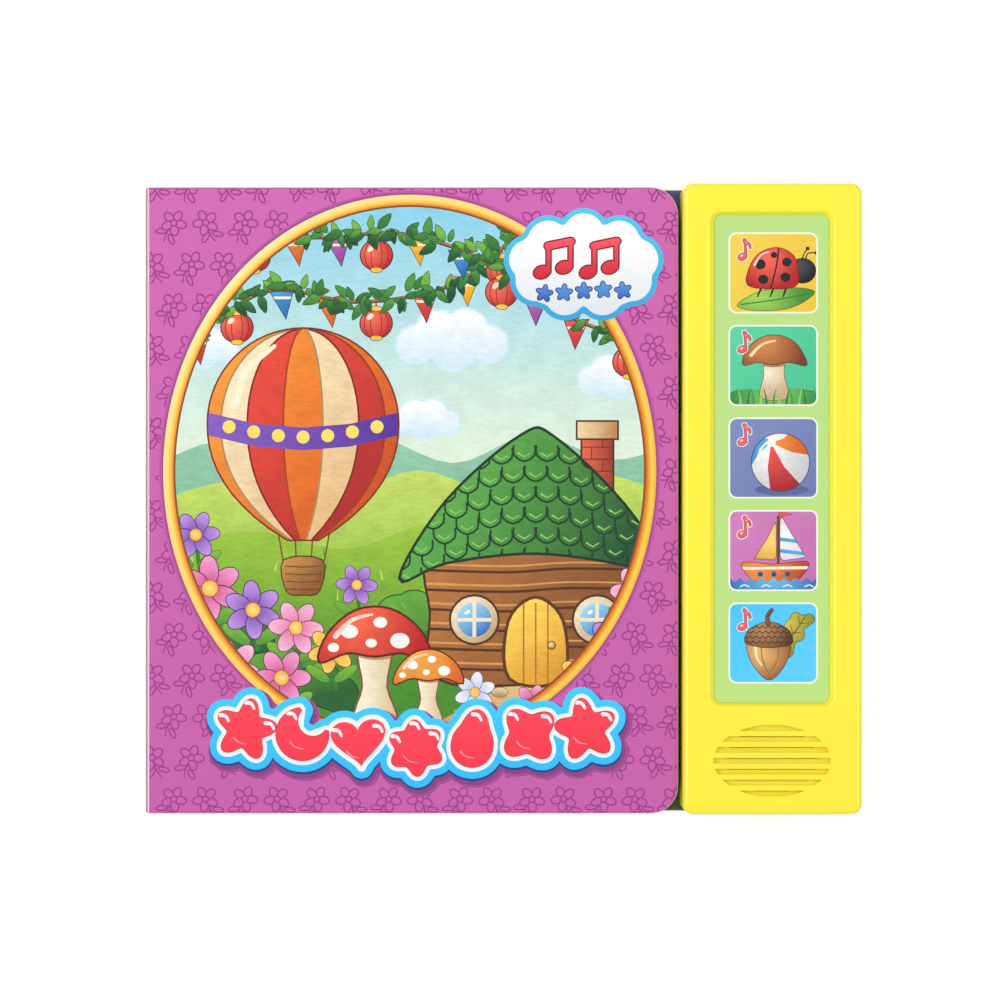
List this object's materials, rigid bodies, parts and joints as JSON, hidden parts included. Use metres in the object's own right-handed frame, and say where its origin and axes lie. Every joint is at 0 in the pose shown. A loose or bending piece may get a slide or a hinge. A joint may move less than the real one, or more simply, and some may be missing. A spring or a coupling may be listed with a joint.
{
  "type": "sound book",
  "caption": "Board book with hinged cover and pages, and a battery sound module with picture keys and a speaker grille along its right side.",
  "frame": {"origin": "centre of the book's outer box, on the surface it lies on", "axes": "+X across the width from the spine to the sound module, +Y up the height of the pages, +Z out of the front cover"},
  "size_m": [0.2, 0.176, 0.017],
  "materials": {
    "cover_board": "printed board under gloss film",
    "page_board": "coated board leaves, cut edges",
    "yellow_plastic": "injection moulded, satin gloss",
    "label_film": "printed clear film",
    "key_plastic": "moulded, plain",
    "silicone": "translucent grey silicone",
    "circuit_board": "green solder mask",
    "epoxy": "black epoxy drop",
    "cell_steel": "nickel plated steel",
    "contact_steel": "tinned spring steel",
    "screw_steel": "zinc plated",
    "speaker_film": "thin formed film",
    "red_wire": "insulated wire",
    "black_wire": "insulated wire"
  },
  "bodies": {
    "case": {"back_cover": "cover_board", "front_shell": "yellow_plastic", "back_shell": "yellow_plastic", "battery_door": "yellow_plastic", "label_film": "label_film", "dome_1": "silicone", "dome_2": "silicone", "dome_3": "silicone", "dome_4": "silicone", "dome_5": "silicone", "circuit_board": "circuit_board", "sound_chip": "epoxy", "cell_1": "cell_steel", "cell_2": "cell_steel", "cell_3": "cell_steel", "bridge_top": "contact_steel", "bridge_door": "contact_steel", "contact_minus": "contact_steel", "contact_plus": "contact_steel", "speaker_frame": "contact_steel", "speaker_cone": "speaker_film", "speaker_magnet": "cell_steel", "wire_plus": "red_wire", "wire_minus": "black_wire", "wire_speaker_a": "red_wire", "wire_speaker_b": "black_wire", "case_screw_1": "screw_steel", "case_screw_2": "screw_steel", "case_screw_3": "screw_steel", "case_screw_4": "screw_steel", "case_screw_5": "screw_steel", "case_screw_6": "screw_steel", "door_screw": "screw_steel"},
    "pages": {"page_block": "page_board", "spine": "cover_board"},
    "cover": {"front_cover": "cover_board"},
    "button_1": {"key_1": "key_plastic"},
    "button_2": {"key_2": "key_plastic"},
    "button_3": {"key_3": "key_plastic"},
    "button_4": {"key_4": "key_plastic"},
    "button_5": {"key_5": "key_plastic"}
  },
  "joints": [
    {"name": "pages_turn", "type": "hinge", "parent": "case", "child": "pages", "pos_m": [-0.1, 0, 0.00375], "axis": [0, 1, 0], "range_deg": [-110, 0]},
    {"name": "cover_open", "type": "hinge", "parent": "pages", "child": "cover", "pos_m": [-0.1, 0, 0.0112], "axis": [0, -1, 0], "range_deg": [0, 180]},
    {"name": "key_1_press", "type": "slide", "parent": "case", "child": "button_1", "axis": [0, 0, -1], "range_m": [0, 0.0008], "stiffness_N_per_m": 1000, "deforming": ["dome_1"]},
    {"name": "key_2_press", "type": "slide", "parent": "case", "child": "button_2", "axis": [0, 0, -1], "range_m": [0, 0.0008], "stiffness_N_per_m": 1000, "deforming": ["dome_2"]},
    {"name": "key_3_press", "type": "slide", "parent": "case", "child": "button_3", "axis": [0, 0, -1], "range_m": [0, 0.0008], "stiffness_N_per_m": 1000, "deforming": ["dome_3"]},
    {"name": "key_4_press", "type": "slide", "parent": "case", "child": "button_4", "axis": [0, 0, -1], "range_m": [0, 0.0008], "stiffness_N_per_m": 1000, "deforming": ["dome_4"]},
    {"name": "key_5_press", "type": "slide", "parent": "case", "child": "button_5", "axis": [0, 0, -1], "range_m": [0, 0.0008], "stiffness_N_per_m": 1000, "deforming": ["dome_5"]}
  ]
}
